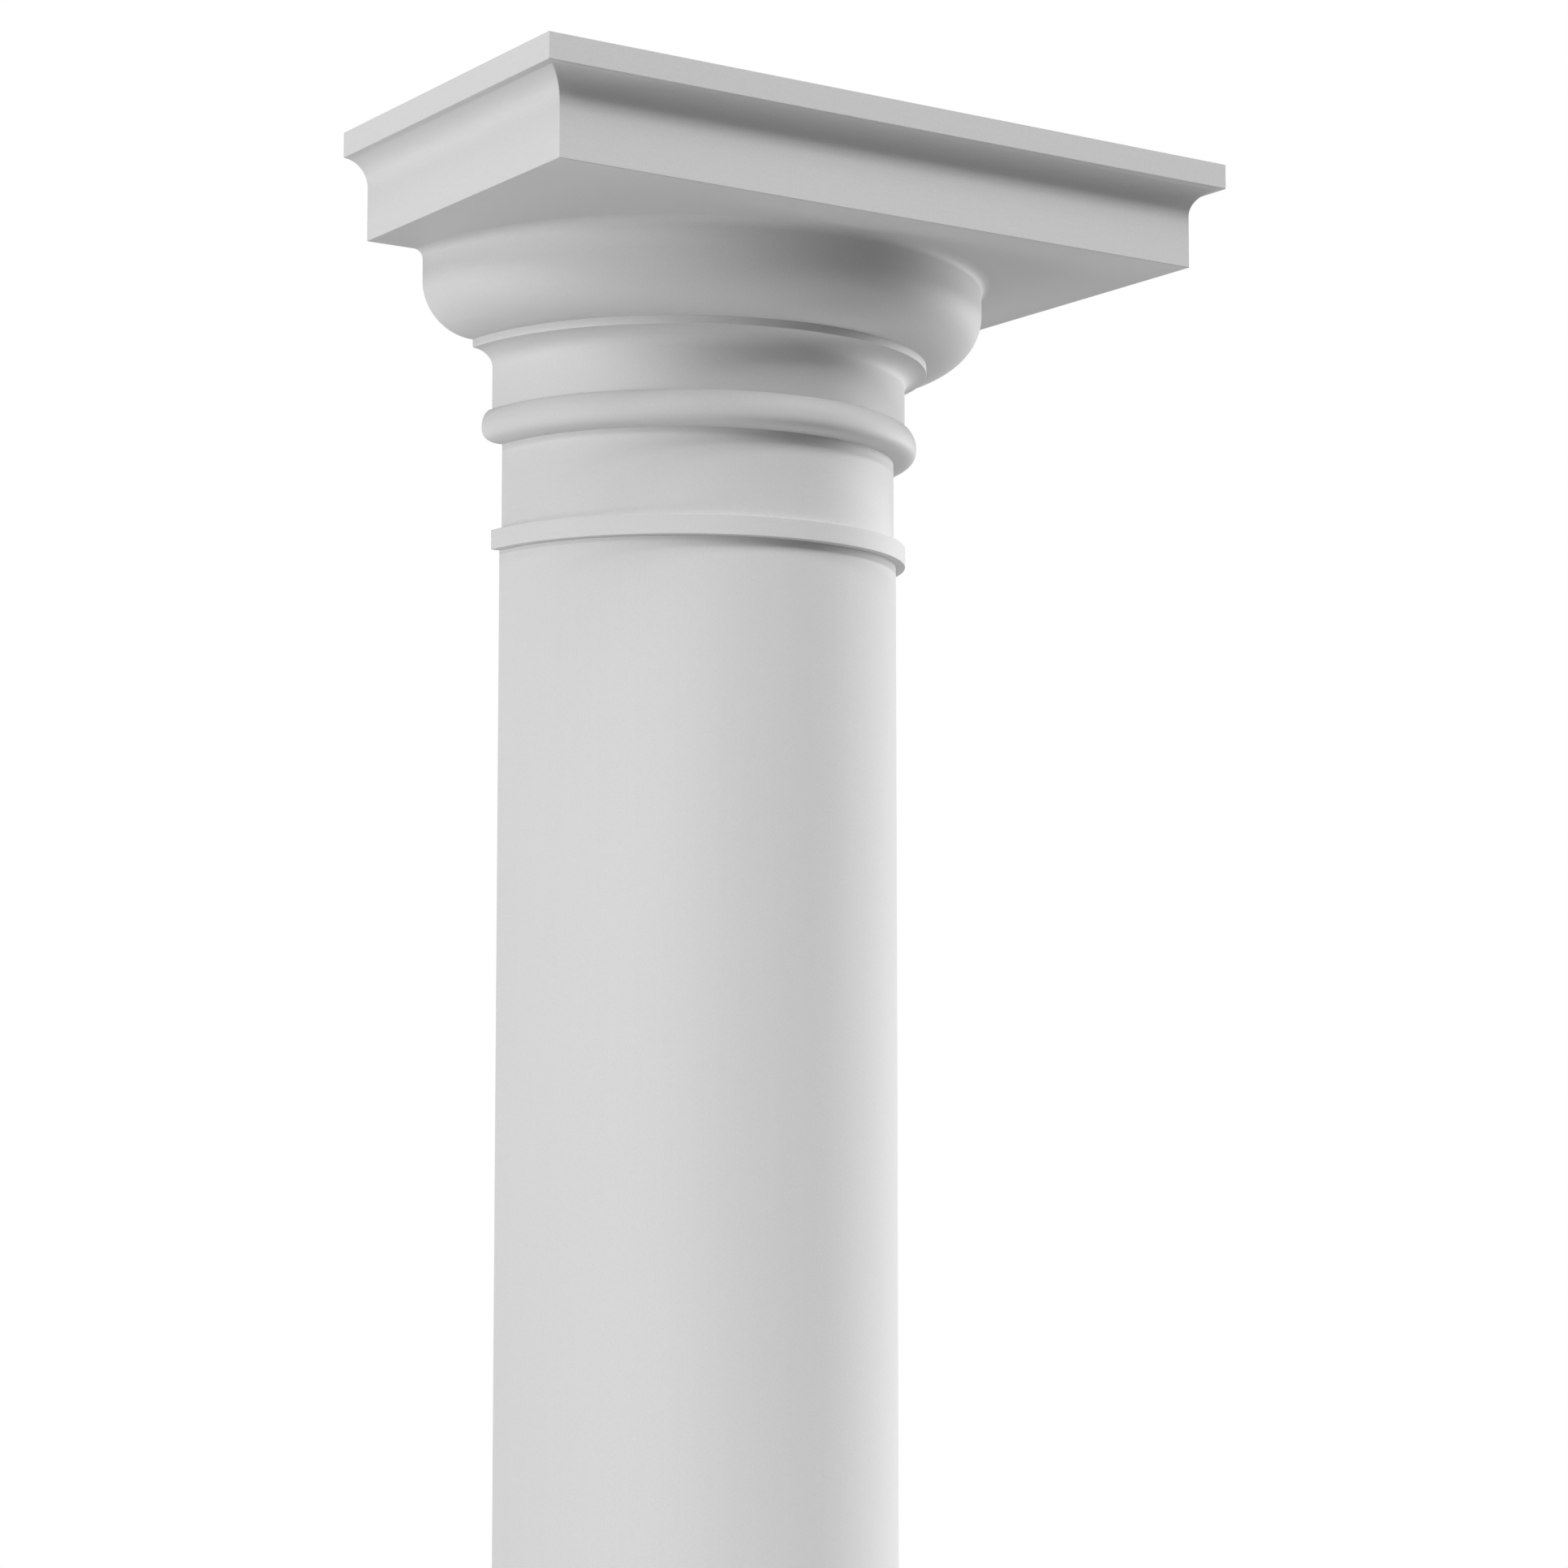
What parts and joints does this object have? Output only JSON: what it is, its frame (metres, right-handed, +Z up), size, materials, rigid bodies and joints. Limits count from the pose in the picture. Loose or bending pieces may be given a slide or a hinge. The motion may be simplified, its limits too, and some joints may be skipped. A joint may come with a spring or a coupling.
{
  "type": "engaged half column",
  "caption": "Half-round engaged column: square moulded abacus, ovolo echinus, beaded neck, plain shaft and square plinth base, cut flat to stand against a wall.",
  "frame": {"origin": "on the floor, at the bottom centre of the bounding box; the column's axis lies in the wall plane, 0.13825 m behind it at +Y", "axes": "+Z up along the shaft, -Y out of the wall to the viewer, +Y into the wall, +X to the viewer's right"},
  "size_m": [0.553, 0.2764, 2.44],
  "materials": {
    "capital_stone": "smooth matt cast stone, pale neutral grey, clean and unweathered",
    "shaft_stone": "smooth matt cast stone, pale neutral grey, rubbed along its length",
    "base_stone": "smooth matt cast stone, pale neutral grey, clean and unweathered"
  },
  "bodies": {
    "root": {"capital": "capital_stone", "shaft": "shaft_stone", "base": "base_stone"}
  },
  "joints": []
}
